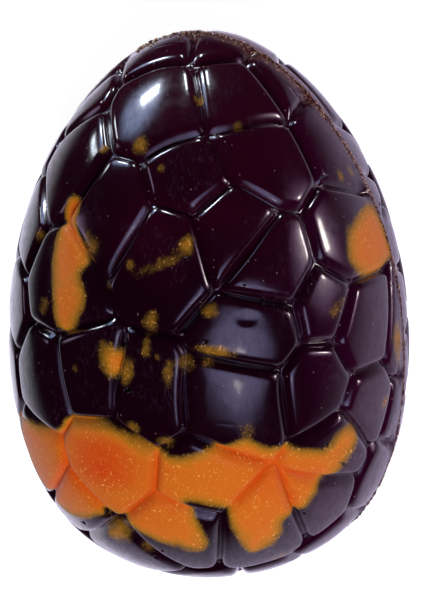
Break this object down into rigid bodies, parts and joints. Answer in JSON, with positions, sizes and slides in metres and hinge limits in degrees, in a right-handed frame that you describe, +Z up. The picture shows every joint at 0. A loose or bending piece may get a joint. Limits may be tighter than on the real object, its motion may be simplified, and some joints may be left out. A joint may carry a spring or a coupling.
{
  "type": "chocolate egg",
  "caption": "Moulded dark chocolate egg with a crackle relief of grooves, a seam bead and splashes of coloured chocolate, lying on its side on a small flat spot.",
  "frame": {"origin": "centre of the outline seen from above, on the surface that the egg rests on", "axes": "+Z up from the flat spot, +Y along the egg towards its narrow end, +X across it"},
  "size_m": [0.1082, 0.1504, 0.1078],
  "materials": {
    "chocolate": "glossy tempered dark chocolate with splashes of orange and ochre cocoa butter"
  },
  "bodies": {
    "root": {"chocolate_egg": "chocolate"}
  },
  "joints": []
}
